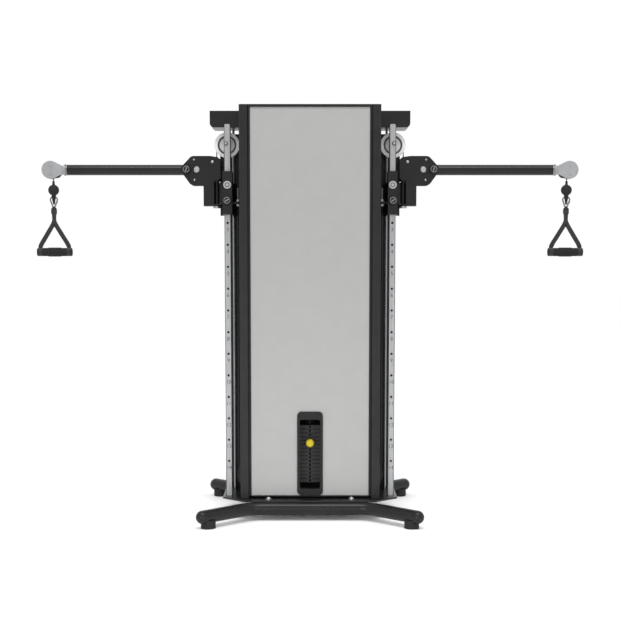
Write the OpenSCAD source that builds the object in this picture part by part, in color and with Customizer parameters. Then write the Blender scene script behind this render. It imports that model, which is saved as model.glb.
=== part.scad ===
// Functional trainer: one weight stack in a panelled tower, with a swivel arm on each
// side that slides on a numbered rail. Millimetres, +Z up, front towards -Y.
// Origin: centre of the footprint, on the floor.
// Side pieces are drawn on the +X side and mirrored for the left.

/* [Base] */
// Diameter of the bent foot tubes
foot_d = 60; // [50:1:70]
// Height of the foot tube centre above the floor
foot_z = 53; // [45:1:60]
// Distance of each foot's straight middle from the centre line
foot_mid_y = 200; // [180:1:220]
// Place across where the straight middle would meet the splayed leg
foot_corner_x = 265; // [240:1:290]
// Bend radius of the foot tube centre line
foot_bend_r = 110; // [80:1:140]
// Place across of the round leg end
foot_end_x = 475; // [440:1:520]
// Place in depth of the round leg end
foot_end_y = 388; // [360:1:420]
// Diameter of the rubber feet
pad_d = 66; // [50:1:80]
// Distance from the leg end back to the rubber foot
pad_back = 32; // [20:1:60]
// Thickness of the base deck plate
deck_t = 8; // [5:1:12]
// How far the deck's front and rear edges stop short of the column's outer face
deck_edge_in = 20; // [0:1:50]
// Margin of the deck beyond the rail centres
deck_margin = 28; // [20:1:50]
// Half depth of the deck
deck_y = 206; // [195:1:215]
// Half depth of the deck's wide part
deck_wide_y = 118; // [110:1:150]

/* [Tower] */
// Half width over the two columns
tower_half_w = 320; // [300:1:325]
// Width of a column
column_w = 41; // [30:1:50]
// Front face of the columns, in front of the centre plane
column_front = 148; // [144:1:160]
// Corner radius of a column
column_r = 9; // [4:1:14]
// Wall of a column
column_wall = 3; // [2:0.5:5]
// Top of the tower
tower_top = 1879; // [1870:1:1950]
// Gap between the front panel and each column
panel_gap = 7; // [3:1:12]
// Gap under and over the front panel
panel_end_gap = 9; // [5:1:14]
// Sheet thickness of the panels
sheet_t = 2; // [1:0.5:3]
// Front face of the front panel, in front of the centre plane
panel_front = 143; // [138:1:147]
// Depth of the front panel's folded edges
panel_fold = 18; // [10:1:24]
// Width of the mounting flange behind the panel
flange_w = 28; // [22:1:40]
// How far the rear cover's wings reach beyond the columns
wing_out = 54; // [45:1:80]
// Top of the rear cover's wings below the crossbeam
wing_drop = 19; // [5:1:80]

/* [Window] */
// Width of the bezel
bezel_w = 118; // [110:1:140]
// Height of the bezel
bezel_h = 388; // [370:1:420]
// Lowest edge of the bezel
bezel_z = 104; // [102:1:130]
// Corner radius of the bezel
bezel_r = 20; // [6:1:24]
// Width of the window opening
window_w = 94; // [70:1:98]
// Height of the window opening
window_h = 321; // [280:1:330]
// Lowest edge of the window opening
window_z = 134; // [130:1:150]
// How far the bezel stands in front of the panel
bezel_proud = 6; // [3:1:10]
// Depth of the bezel's lip through the panel
bezel_lip = 20; // [8:1:26]
// Wall of the bezel's lip
bezel_wall = 3; // [2:0.5:5]

/* [Rails] */
// Centre of each rail beyond the column
rail_out = 56; // [52:1:64]
// Width of a rail
rail_w = 30; // [26:1:32]
// Depth of a rail
rail_d = 40; // [34:1:44]
// Wall of a rail
rail_wall = 3; // [2:0.5:4]
// Corner radius of a rail
rail_r = 5; // [3:0.5:8]
// Rear face of the rails, in front of the centre plane
rail_back = 45; // [42:1:50]
// Height of the rails above the crossbeam's underside
rail_over = 11; // [4:1:20]
// Radius of the rounded rail top
rail_top_r = 10; // [4:1:14]
// Topmost adjusting hole below the top pulley centres
hole_drop = 158; // [150:1:180]
// Lowest height for an adjusting hole
hole_low = 240; // [235:1:260]
// Distance between adjusting holes
hole_pitch = 100; // [80:1:100]
// Hole, counted from the top, where the carriage rests
rest_hole = 2; // [2:1:3]
// Diameter of the adjusting holes
hole_d = 11; // [9:0.5:14]
// Diameter of the rear guide rods of the carriages
side_rod_d = 12; // [10:1:14]
// Centre of each rear guide rod beyond the column
side_rod_out = 38; // [34:1:42]
// Distance of the rear guide rods behind the centre plane
side_rod_y = 80; // [70:1:88]

/* [Crossbeam] */
// Reach of the crossbeam beyond the rail centres
beam_over = 82; // [60:1:100]
// Height of the crossbeam
beam_h = 75; // [60:1:85]
// Underside of the crossbeam below the tower's top
beam_drop = 92; // [85:1:100]
// Distance of the beam's rear face behind the centre plane
beam_back = 105; // [95:1:120]
// Wall of the crossbeam
beam_wall = 4; // [3:0.5:6]
// Radius of the lower outer corners
beam_r = 20; // [8:1:30]
// Vent hole in the underside
beam_vent_d = 18; // [10:1:24]

/* [Weight stack] */
// Number of weight plates
plate_count = 15; // [12:1:15]
// Number of plates above the selector pin, and with it
lifted_count = 5; // [1:1:9]
// Step from plate to plate
plate_pitch = 18; // [17:0.5:20]
// Gap between plates
plate_gap = 0.5; // [0.4:0.1:1]
// Width of a plate
plate_w = 300; // [280:1:340]
// Depth of a plate
plate_d = 140; // [130:1:150]
// Corner radius of a plate
plate_r = 10; // [4:1:16]
// Underside of the stack
stack_z = 150; // [140:1:160]
// Diameter of the stack's guide rods
rod_d = 20; // [16:1:25]
// Centre of the stack's guide rods across
rod_x = 120; // [105:1:130]
// Distance of the stack's guide rods behind the centre plane
rod_y = 42; // [36:1:50]
// Diameter of the selector stem
stem_d = 26; // [22:1:30]
// Diameter of the selector pin
pin_d = 9; // [7:0.5:10]
// Diameter of the selector knob
pin_knob_d = 38; // [30:1:44]
// Depth of the selector knob
pin_knob_l = 32; // [20:1:36]
// Diameter of the rubber cushions
cushion_d = 46; // [40:1:50]

/* [Cable and pulleys] */
// Diameter of the coated cable
cable_d = 4.8; // [4:0.1:6]
// Cable radius on the top pulleys
top_r = 48; // [44:1:52]
// Top pulley centres below the crossbeam
top_drop = 76; // [72:1:90]
// Cable radius on the inner, return and lift pulleys
mid_r = 45; // [42:1:47]
// Place across of the innermost cable run
inner_run_x = 35; // [33:1:40]
// Drop of the return pulley below the inner pulley
return_drop = 70; // [66:1:100]
// Gap between the base pulleys and the deck
base_gap = 14.5; // [6:0.5:30]
// Height of the lift pulleys above the top plate
lift_up = 95; // [88:1:140]
// Height of a pulley rim above the cable centre
rim_over = 10; // [7:1:11]
// Width of a pulley
pulley_w = 20; // [16:1:21]
// Diameter of a pulley axle
axle_d = 12; // [10:1:14]
// Thickness of the pulley hanger plates
hanger_t = 4; // [3:0.5:6]

/* [Carriage] */
// Wall of the sleeve beside the rail
sleeve_wall = 6; // [4:0.5:8]
// Front face of the sleeve, in front of the rail
sleeve_front = 15; // [10:1:20]
// Rear face of the sleeve, behind the rail
sleeve_back = 12; // [9:1:13]
// Height of the sleeve above the locking pin
sleeve_up = 133; // [120:1:140]
// Depth of the sleeve below the locking pin
sleeve_down = 63; // [40:1:80]
// Top of the rear box above the locking pin
box_up = 87; // [80:1:90]
// Thickness of the carriage plates
carriage_t = 6; // [4:0.5:8]
// Distance of the back plate's front face behind the centre plane
back_plate_y = 44; // [42:1:50]
// Top of the back plate's horn above the locking pin
horn_up = 212; // [180:1:220]
// Outer edge of the horn, back from the hinge
horn_in = 12; // [8:1:18]
// Width of the horn
horn_w = 22; // [16:1:24]
// Diameter of the locking pins
lock_d = 10; // [8:0.5:10.5]
// Diameter of the pull knobs
knob_d = 35; // [28:1:40]
// Length of the pull knobs
knob_l = 30; // [20:1:36]
// Diameter of the cable anchor stud
stud_d = 12; // [10:0.5:14]
// Length of the anchor stud above its lug
stud_up = 62; // [40:1:70]
// Thickness of the anchor lug
lug_t = 11; // [8:1:14]

/* [Arm head] */
// Distance of the upright hinge from the rail centre
hinge_out = 54; // [51:1:58]
// Diameter of the hinge bolt
hinge_d = 12; // [10:1:13]
// Outside diameter of the hinge barrel
barrel_d = 24; // [20:1:26]
// Lower end of the barrel, from the locking pin
barrel_low = -11; // [-20:1:0]
// Upper end of the barrel, from the locking pin
barrel_up = 90; // [86:1:96]
// Thickness of the two hinge ears
ear_t = 9; // [7:1:10]
// Distance of the arm pivot from the hinge
pivot_out = 90; // [86:1:96]
// Height of the arm pivot above the locking pin
pivot_up = 145; // [142:1:150]
// Diameter of the pivot bolt
pivot_d = 14; // [12:1:16]
// Radius of the pitch lock holes about the pivot
pitch_r = 46; // [44:1:48]
// Diameter of the pitch lock pin
pitch_pin_d = 6.5; // [5:0.5:7]
// Angle between the pitch lock holes
pitch_step = 15; // [15:1:20]
// Thickness of the head's side plates
head_t = 5; // [4:0.5:6]
// Top of the head above the pivot
head_up = 62; // [60:1:70]
// Underside of the head's lobe below the pivot
head_lobe_down = 72; // [66:1:80]
// How far the head reaches back past the hinge
head_back = 18; // [14:1:20]
// Width of the head's tongue
tongue_w = 48; // [40:1:56]
// Radius of the head's lobes
lobe_r = 27; // [22:1:30]
// Cable radius on the head pulley
head_r = 18; // [16:1:20]
// Radius of the cable spool on the pivot bolt
spool_r = 13; // [11:0.5:15]

/* [Arm] */
// Outside diameter of the arm tube
arm_d = 48; // [42:1:50]
// Wall of the arm tube
arm_wall = 3; // [2:0.5:4]
// Distance of the arm tube's end from the pivot
arm_l = 607; // [500:1:700]
// Radius of the pitch sector
sector_r = 56; // [52:1:57]
// Thickness of the pitch sector
sector_t = 6; // [4:0.5:8]

/* [Tip and handle] */
// Radius of the tip housing
tip_r = 41; // [36:1:46]
// Distance of the housing centre from the arm tube's end
tip_out = 69; // [60:1:80]
// Thickness of the tip housing
tip_t = 34; // [28:1:40]
// Cable radius on the tip pulley
tip_cable_r = 16; // [13:1:17]
// Place of the hanging cable, back from the housing centre
hang_back = 10; // [6:1:14]
// Length of the journal inside the arm tube
journal_l = 30; // [20:1:40]
// Radius of the ball stop
ball_r = 25; // [20:1:28]
// Centre of the ball stop below the arm
ball_drop = 92; // [88:1:110]
// Height of the snap hook
hook_h = 55; // [50:1:66]
// Width of the snap hook at its top
hook_w = 39; // [32:1:44]
// Width of the snap hook at its foot
hook_foot_w = 21; // [18:1:24]
// Thickness of the snap hook's bar
hook_bar = 6; // [5:0.5:7]
// Width of the doubled strap
strap_w = 20; // [16:1:24]
// Length of the doubled strap below the hook
strap_l = 76; // [60:1:90]
// Thickness of the doubled webbing in a strap leg
web_t = 8; // [5:0.5:10]
// Width of a strap leg, seen from the front
leg_w = 18; // [12:1:18]
// Height of the strap's triangle
leg_h = 128; // [110:1:150]
// Half spread of the strap at the grip
leg_x = 66; // [55:1:67]
// Half length of the grip
grip_half = 80; // [74:1:90]
// Largest diameter of the grip
grip_d = 42; // [36:1:46]
// Diameter of the grip's necks
grip_neck_d = 31; // [26:1:34]

/* [Fits] */
// Radial clearance of a running fit
run_fit = 0.05; // [0.02:0.01:0.1]
// Clearance between pieces that slide past each other
slide_gap = 0.4; // [0.3:0.1:0.8]
// Clearance of a loose fixed fit
loose = 0.2; // [0.1:0.05:0.4]
// Side clearance of a turning piece
side_gap = 1; // [0.5:0.1:2]

/* [Hidden] */
$fn = 48;

// Base
foot_angle = atan2(foot_end_y - foot_mid_y, foot_end_x - foot_corner_x);
foot_tangent = foot_bend_r * tan(foot_angle / 2);
foot_leg_l = norm([foot_end_x - foot_corner_x, foot_end_y - foot_mid_y]) - foot_tangent;
deck_low = foot_z + foot_d / 2;
deck_top = deck_low + deck_t;

// Tower
rail_x = tower_half_w + rail_out;
side_rod_x = tower_half_w + side_rod_out;
hinge_x = rail_x + hinge_out;
horn_x = hinge_x - horn_in;
cover_wing_x = tower_half_w + wing_out;
deck_edge_x = tower_half_w - deck_edge_in;
deck_side_x = rail_x + deck_margin;
beam_half = rail_x + beam_over;
beam_z = tower_top - beam_drop;
rail_top = beam_z + rail_over;
top_z = beam_z - top_drop;
cover_wing_top = beam_z - wing_drop;
column_x = tower_half_w - column_w / 2;
column_d = column_front - rail_back;
panel_half = tower_half_w - column_w - panel_gap;
panel_low = deck_top + panel_end_gap;
panel_top = tower_top - panel_end_gap;
flange_front = panel_front - sheet_t;
cover_t = sheet_t;

// Rails
rail_front = rail_back + rail_d;
rail_y = -(rail_front + rail_back) / 2;
hole_top = top_z - hole_drop;
hole_count = 1 + floor((hole_top - hole_low) / hole_pitch);
hole_z = hole_top - (hole_count - 1) * hole_pitch;
rest_z = hole_top - (rest_hole - 1) * hole_pitch;

// Stack
plate_t = plate_pitch - plate_gap;
stack_top = stack_z + plate_count * plate_pitch;
resting_count = plate_count - lifted_count;
pin_z = stack_z + resting_count * plate_pitch + plate_t / 2;

// Cable runs, seen from the front, and the pulleys that guide them
anchor_x = rail_x_top() - top_r;
inner_x = inner_run_x + mid_r;
lift_run_x = inner_run_x + 2 * mid_r;
return_x = lift_run_x + mid_r;
return_run_x = lift_run_x + 2 * mid_r;
base_r = (anchor_x - return_run_x) / 2;
base_x = return_run_x + base_r;
base_z = deck_top + base_gap + rim_over + base_r;
top_run_z = top_z + top_r;
inner_z = top_run_z - mid_r;
return_z = inner_z - return_drop;
lift_z = stack_top + lift_up;
function rail_x_top() = hinge_x - top_r;

// Arm
pivot_x = hinge_x + pivot_out;
pivot_z = rest_z + pivot_up;
arm_end_x = pivot_x + arm_l;
hub_d = arm_d + 6;
head_in = arm_d / 2 + slide_gap;
head_out = head_in + head_t;
head_pulley_x = hinge_x + head_r;
head_pulley_z = pivot_z + spool_r + cable_d / 2 + head_r;
ear_low_top = rest_z + barrel_low - side_gap;
ear_up_low = rest_z + barrel_up + side_gap;
ear_up_top = ear_up_low + ear_t;
tip_x = arm_end_x + tip_out;
hang_x = tip_x - hang_back;
tip_pulley_x = hang_x - tip_cable_r;
tip_pulley_z = pivot_z - tip_cable_r;
ball_z = pivot_z - ball_drop;
hook_top = ball_z - ball_r - 1;
hook_foot = hook_top - hook_h;
strap_split = hook_foot - strap_l;
grip_z = strap_split - leg_h;

// Shared shapes

module on_side(side) {
  if (side == "left") mirror([1, 0, 0]) children();
  else children();
}

module both_sides() {
  children();
  mirror([1, 0, 0]) children();
}

module rounded_rect(w, d, r) {
  square([w - 2 * r, d], center = true);
  square([w, d - 2 * r], center = true);
  for (sx = [-1, 1], sy = [-1, 1])
    translate([sx * (w / 2 - r), sy * (d / 2 - r)]) circle(r = r);
}

// A flat outline stood up in X and Z, filling the depth from y0 to y1
module upright(y0, y1) {
  translate([0, y1, 0]) rotate([90, 0, 0]) linear_extrude(y1 - y0) children();
}

// A flat outline in Y and Z, filling the width from x0 to x1
module crosswise(x0, x1) {
  translate([x0, 0, 0]) rotate([90, 0, 90]) linear_extrude(x1 - x0) children();
}

module level(z0, z1) {
  translate([0, 0, z0]) linear_extrude(z1 - z0) children();
}

// A round bar along the depth
module bar_y(x, z, y0, y1, d) {
  translate([x, y0, z]) rotate([-90, 0, 0]) cylinder(d = d, h = y1 - y0);
}

module box(low, high) {
  translate(low) cube(high - low);
}

// A grooved cable pulley on an axle along the depth
module pulley(x, z, cable_r, width, bore_d) {
  rim = cable_r + rim_over;
  floor_r = cable_r - cable_d / 2 - slide_gap;
  lip = width * 0.15;
  hub = bore_d / 2 + 7;
  recess = min(width * 0.2, 3);
  half = width / 2;
  groove = cable_d / 2 + slide_gap;
  ring = floor_r - 5;
  translate([x, 0, z]) rotate([-90, 0, 0]) rotate_extrude() polygon(concat(
    [[bore_d / 2, -half], [hub, -half]],
    ring > hub + 4 ? [[hub, -half + recess], [ring, -half + recess], [ring, -half]] : [],
    [[rim, -half], [rim, -half + lip], [floor_r, -groove], [floor_r, groove],
     [rim, half - lip], [rim, half]],
    ring > hub + 4 ? [[ring, half], [ring, half - recess], [hub, half - recess]] : [],
    [[hub, half], [bore_d / 2, half]]));
}

// A cable bend on a pulley, from one angle to another, counted from +X towards +Z
module cable_bend(x, z, r, from, to) {
  translate([x, 0, z]) rotate([90, 0, 0]) rotate([0, 0, from])
    rotate_extrude(angle = to - from) translate([r, 0]) circle(d = cable_d);
}

module cable_up(x, z0, z1) {
  translate([x, 0, z0]) cylinder(d = cable_d, h = z1 - z0);
}

// Base

// A leg of a foot tube with its domed end, along +Z
module domed_bar(r, l) {
  rotate_extrude() intersection() {
    union() {
      square([r, l]);
      translate([0, l]) circle(r = r);
    }
    square([r, l + r]);
  }
}

module foot_leg() {
  translate([foot_corner_x + foot_tangent * cos(foot_angle),
             -foot_mid_y - foot_tangent * sin(foot_angle), foot_z])
    rotate([0, 0, -foot_angle]) rotate([0, 90, 0]) domed_bar(foot_d / 2, foot_leg_l);
}

module foot_tube() {
  mid = foot_corner_x - foot_tangent;
  translate([-mid, -foot_mid_y, foot_z]) rotate([0, 90, 0]) cylinder(d = foot_d, h = 2 * mid);
  both_sides() {
    translate([mid, -foot_mid_y - foot_bend_r, foot_z]) rotate([0, 0, 90 - foot_angle])
      rotate_extrude(angle = foot_angle) translate([foot_bend_r, 0]) circle(d = foot_d - 1);
    foot_leg();
  }
}

module base_feet() {
  color("#2c2c2e") {
    foot_tube();
    mirror([0, 1, 0]) foot_tube();
  }
}

module rubber_feet() {
  pad_x = foot_end_x - pad_back * cos(foot_angle);
  pad_y = foot_end_y - pad_back * sin(foot_angle);
  color("#1b1b1c") for (fy = [0, 1]) mirror([0, fy, 0]) both_sides()
    difference() {
      translate([pad_x, -pad_y, 0]) cylinder(d = pad_d, h = foot_z - foot_d / 4);
      foot_leg();
    }
}

module base_deck() {
  color("#2c2c2e") level(deck_low, deck_top)
    polygon([for (sy = [-1, 1], p = [[-deck_side_x, deck_wide_y], [-deck_edge_x, deck_y],
      [deck_edge_x, deck_y], [deck_side_x, deck_wide_y]]) sy * [p[0], p[1]]]);
}

// Tower

module tower_columns() {
  color("#38383a") both_sides() {
    difference() {
      translate([column_x, -column_front + column_d / 2, 0]) level(deck_top, tower_top)
        rounded_rect(column_w, column_d, column_r);
      translate([column_x, -column_front + column_d / 2, 0])
        level(deck_top - 1, tower_top - column_wall)
          rounded_rect(column_w - 2 * column_wall, column_d - 2 * column_wall,
                       column_r - column_wall);
    }
    box([panel_half - flange_w + panel_gap, -flange_front, panel_low],
        [tower_half_w - column_w + 1, -flange_front + column_wall, panel_top]);
  }
}

module beam_outline(inset) {
  r = beam_r - inset;
  half = beam_half - inset;
  low = beam_z + inset;
  high = beam_z + beam_h - inset;
  translate([-half, low + r]) square([2 * half, high - low - r]);
  translate([-half + r, low]) square([2 * half - 2 * r, high - low]);
  for (sx = [-1, 1]) translate([sx * (half - r), low + r]) circle(r = r);
}

module crossbeam() {
  color("#2c2c2e") difference() {
    upright(-rail_back, beam_back) beam_outline(0);
    upright(-rail_back + beam_wall, beam_back - beam_wall) beam_outline(beam_wall);
    translate([column_x, (beam_back - rail_back) / 2, beam_z - 1])
      cylinder(d = beam_vent_d, h = beam_wall + 2);
  }
}

module bezel_lip_outline(grow) {
  translate([0, window_z + window_h / 2])
    rounded_rect(window_w + 2 * grow, window_h + 2 * grow, bezel_r / 2 + grow);
}

module front_panel() {
  color("#bdbdbb") {
    upright(-panel_front, -flange_front) difference() {
      translate([-panel_half, panel_low]) square([2 * panel_half, panel_top - panel_low]);
      bezel_lip_outline(bezel_wall + loose);
    }
    both_sides()
      box([panel_half - flange_w - sheet_t + panel_gap - 1, -flange_front, panel_low],
          [panel_half - flange_w + panel_gap - 1, -flange_front + panel_fold, panel_top]);
  }
}

module window_bezel() {
  color("#2a2a2b") difference() {
    union() {
      upright(-panel_front - bezel_proud, -panel_front)
        translate([0, bezel_z + bezel_h / 2]) rounded_rect(bezel_w, bezel_h, bezel_r);
      upright(-panel_front, -panel_front + bezel_lip) bezel_lip_outline(bezel_wall);
    }
    upright(-panel_front - bezel_proud - 1, -panel_front + bezel_lip + 1) bezel_lip_outline(0);
  }
}

module rear_cover() {
  inner_half = tower_half_w - column_w - loose;
  color("#2c2c2e") {
    box([-cover_wing_x, beam_back, deck_top], [cover_wing_x, beam_back + cover_t, cover_wing_top]);
    box([-inner_half, beam_back, cover_wing_top], [inner_half, beam_back + cover_t, tower_top]);
    box([-inner_half, -column_front, tower_top - cover_t], [inner_half, beam_back, tower_top]);
    box([-inner_half, -column_front, panel_top + loose],
        [inner_half, -column_front + cover_t, tower_top - cover_t]);
  }
}

// Rails and rods

module front_rail() {
  difference() {
    intersection() {
      translate([rail_x, rail_y, 0]) level(deck_top, rail_top) rounded_rect(rail_w, rail_d, rail_r);
      upright(-rail_front - 1, -rail_back + 1) translate([rail_x, 0]) {
        translate([-rail_w / 2, deck_top]) square([rail_w, rail_top - rail_top_r - deck_top]);
        translate([-rail_w / 2 + rail_top_r, deck_top])
          square([rail_w - 2 * rail_top_r, rail_top - deck_top]);
        for (sx = [-1, 1])
          translate([sx * (rail_w / 2 - rail_top_r), rail_top - rail_top_r]) circle(r = rail_top_r);
      }
    }
    translate([rail_x, rail_y, 0]) level(deck_top - 1, rail_top - rail_top_r - rail_wall)
      rounded_rect(rail_w - 2 * rail_wall, rail_d - 2 * rail_wall, rail_r - rail_wall / 2);
    for (i = [0 : hole_count - 1])
      bar_y(rail_x, hole_z + i * hole_pitch, -rail_front - 1, -rail_front + rail_wall + 1, hole_d);
    bar_y(rail_x_top(), top_z, -rail_front - 1, -rail_back + 1, axle_d + loose);
  }
}

module front_rails() {
  color("#c6c7c9") both_sides() front_rail();
}

module guide_rods() {
  color("#b9bbbd") both_sides() {
    translate([rod_x, rod_y, deck_top]) cylinder(d = rod_d, h = beam_z - deck_top);
    translate([side_rod_x, side_rod_y, deck_top]) cylinder(d = side_rod_d, h = beam_z - deck_top);
  }
}

// Weight stack

module stack_cushions() {
  color("#1b1b1c") both_sides() translate([rod_x, rod_y, deck_top]) difference() {
    cylinder(d = cushion_d, h = stack_z - deck_top);
    translate([0, 0, -1]) cylinder(d = rod_d + 2 * loose, h = stack_z);
  }
}

module weight_plate(i) {
  low = stack_z + i * plate_pitch;
  difference() {
    level(low, low + plate_t) rounded_rect(plate_w, plate_d, plate_r);
    translate([0, 0, low - 1]) cylinder(d = stem_d + 2 * slide_gap, h = plate_pitch + 2);
    for (sx = [-1, 1]) translate([sx * rod_x, rod_y, low - 1])
      cylinder(d = rod_d + 2 * slide_gap, h = plate_pitch + 2);
    bar_y(0, low + plate_t / 2, -plate_d / 2 - 1, 0, pin_d + 2 * slide_gap);
  }
}

module resting_plates() {
  color("#232324") for (i = [0 : resting_count - 1]) weight_plate(i);
}

module lifted_plates() {
  color("#232324") for (i = [resting_count : plate_count - 1]) weight_plate(i);
}

module lift_stem() {
  arm = pulley_w / 2 + side_gap;
  half = inner_x + axle_d;
  stem_low = stack_z + plate_pitch;
  color("#9a9c9e") {
    difference() {
      union() {
        translate([0, 0, stem_low]) cylinder(d = stem_d, h = stack_top - stem_low);
        translate([0, 0, stack_top]) cylinder(d = stem_d * 1.6, h = plate_t);
        box([-stem_d / 2, -arm, stack_top + plate_t], [stem_d / 2, arm, lift_z + axle_d]);
        for (sy = [-1, 1]) translate([0, sy * (arm + hanger_t / 2), lift_z])
          rotate([90, 0, 0]) linear_extrude(hanger_t, center = true) {
            square([2 * inner_x, 3 * axle_d], center = true);
            for (sx = [-1, 1]) translate([sx * inner_x, 0]) circle(d = 3 * axle_d);
          }
      }
      for (i = [1 : plate_count - 1])
        bar_y(0, stack_z + i * plate_pitch + plate_t / 2, -stem_d, stem_d, pin_d + 2 * slide_gap);
    }
    both_sides()
      bar_y(inner_x, lift_z, -arm - hanger_t - 6, -arm - hanger_t, 20);
    both_sides()
      bar_y(inner_x, lift_z, -arm, arm, axle_d);
    both_sides()
      bar_y(inner_x, lift_z, arm + hanger_t, arm + hanger_t + 6, 20);
  }
}

module selector_pin() {
  front = -plate_d / 2 - slide_gap;
  color("#e8b400") {
    bar_y(0, pin_z, front - 2, stem_d / 2 - 1, pin_d);
    translate([0, front - pin_knob_l, pin_z]) rotate([-90, 0, 0]) rotate_extrude()
      polygon([[0, 0], [pin_knob_d / 2 - 5, 0], [pin_knob_d / 2, 5],
               [pin_knob_d / 2, pin_knob_l * 0.45], [pin_knob_d / 3, pin_knob_l * 0.6],
               [pin_knob_d / 3.4, pin_knob_l - 5], [pin_knob_d / 2.6, pin_knob_l],
               [0, pin_knob_l]]);
  }
}

// Fixed pulley mounts

module hanger(x, z, top, half_w) {
  arm = pulley_w / 2 + side_gap;
  for (sy = [-1, 1]) translate([x, sy * (arm + hanger_t / 2), 0]) difference() {
    rotate([90, 0, 0]) linear_extrude(hanger_t, center = true) {
      translate([-half_w, min(z, top)]) square([2 * half_w, abs(top - z)]);
      translate([0, z]) circle(r = half_w);
    }
    translate([0, -hanger_t, z]) rotate([-90, 0, 0]) cylinder(d = axle_d + loose, h = 2 * hanger_t);
  }
  bar_y(x, z, -arm - hanger_t - 3, arm + hanger_t + 3, axle_d);
}

module pulley_mounts() {
  plate_y = pulley_w / 2 + side_gap;
  color("#2c2c2e") both_sides() {
    hanger(inner_x, inner_z, beam_z, 16);
    hanger(return_x, return_z, beam_z, 16);
    hanger(base_x, base_z, deck_top, 20);
    difference() {
      upright(plate_y, plate_y + hanger_t + 2) translate([rail_x_top(), 0]) {
        translate([-14, top_z]) square([28, beam_z - top_z]);
        translate([0, top_z]) circle(r = 14);
      }
      bar_y(rail_x_top(), top_z, plate_y - 1, plate_y + hanger_t + 3, axle_d + loose);
    }
    bar_y(rail_x_top(), top_z, -rail_front, plate_y + hanger_t + 5, axle_d);
    bar_y(rail_x_top(), top_z, -rail_front - 5, -rail_front, axle_d * 1.5);
  }
}

module fixed_cables() {
  color("#17171a") both_sides() {
    cable_bend(rail_x_top(), top_z, top_r, 0, 90);
    translate([inner_x, 0, top_run_z]) rotate([0, 90, 0])
      cylinder(d = cable_d, h = rail_x_top() - inner_x);
    cable_bend(inner_x, inner_z, mid_r, 90, 180);
    cable_up(inner_run_x, return_z, inner_z);
    cable_bend(return_x, return_z, mid_r, 0, 180);
    cable_up(return_run_x, base_z, return_z);
    cable_bend(base_x, base_z, base_r, 180, 360);
  }
}

module stack_cables() {
  color("#17171a") both_sides() {
    cable_up(inner_run_x, lift_z, return_z);
    cable_up(lift_run_x, lift_z, return_z);
  }
}

module riser_cable() {
  color("#17171a") cable_up(hinge_x, head_pulley_z, top_z);
}

module anchor_cable() {
  color("#17171a") cable_up(anchor_x, base_z, rest_z);
}

module top_pulley() {
  color("#d9d9d9") pulley(rail_x_top(), top_z, top_r, pulley_w, axle_d + 2 * run_fit);
}

module inner_pulley() {
  color("#2f2f31") pulley(inner_x, inner_z, mid_r, pulley_w, axle_d + 2 * run_fit);
}

module return_pulley() {
  color("#2f2f31") pulley(return_x, return_z, mid_r, pulley_w, axle_d + 2 * run_fit);
}

module lift_pulley() {
  color("#2f2f31") pulley(inner_x, lift_z, mid_r, pulley_w, axle_d + 2 * run_fit);
}

module base_pulley() {
  color("#2f2f31") pulley(base_x, base_z, base_r, pulley_w, axle_d + 2 * run_fit);
}

// Carriage

sleeve_w = rail_w + 2 * (sleeve_wall + slide_gap);
box_z = rest_z + box_up;
low_z = rest_z - sleeve_down;
sleeve_rear = rail_back - sleeve_back;

module carriage() {
  inner_side = rail_x - sleeve_w / 2;
  outer_side = rail_x + sleeve_w / 2;
  bush_r = side_rod_d / 2 + 8;
  color("#2f2f31") difference() {
    union() {
      box([inner_side, -rail_front - sleeve_front, low_z],
          [outer_side, -sleeve_rear, rest_z + sleeve_up]);
      box([inner_side, -sleeve_rear - 1, low_z], [inner_side + carriage_t, side_rod_y, box_z]);
      box([outer_side - carriage_t, -sleeve_rear - 1, low_z],
          [outer_side, back_plate_y + carriage_t, box_z]);
      box([inner_side + 1, back_plate_y, low_z], [horn_x, back_plate_y + carriage_t, box_z]);
      box([horn_x - horn_w, back_plate_y, box_z - 1],
          [horn_x, back_plate_y + carriage_t, rest_z + horn_up]);
      translate([side_rod_x, side_rod_y, low_z]) cylinder(r = bush_r, h = box_z - low_z);
      box([outer_side - 1, -5, rest_z + barrel_low], [hinge_x - hinge_d, 5, box_z]);
      translate([hinge_x, 0, rest_z + barrel_low])
        cylinder(d = barrel_d, h = barrel_up - barrel_low);
      box([anchor_x, -stud_d, rest_z - lug_t], [inner_side + 1, stud_d, rest_z]);
      translate([anchor_x, 0, rest_z - lug_t]) cylinder(r = stud_d, h = lug_t);
    }
    translate([rail_x, rail_y, 0]) level(low_z - 1, rest_z + sleeve_up + 1)
      square([rail_w + 2 * slide_gap, rail_d + 2 * slide_gap], center = true);
    translate([side_rod_x, side_rod_y, low_z - 1])
      cylinder(d = side_rod_d + 2 * slide_gap, h = box_z - low_z + 2);
    translate([hinge_x, 0, rest_z + barrel_low - 1])
      cylinder(d = hinge_d + 2 * run_fit, h = barrel_up - barrel_low + 2);
    bar_y(rail_x, rest_z, -rail_front - sleeve_front - 1, -rail_front + 1, lock_d + 2 * run_fit);
    translate([anchor_x, 0, rest_z - lug_t - 1]) cylinder(d = stud_d + loose, h = lug_t + 2);
  }
}

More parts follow.
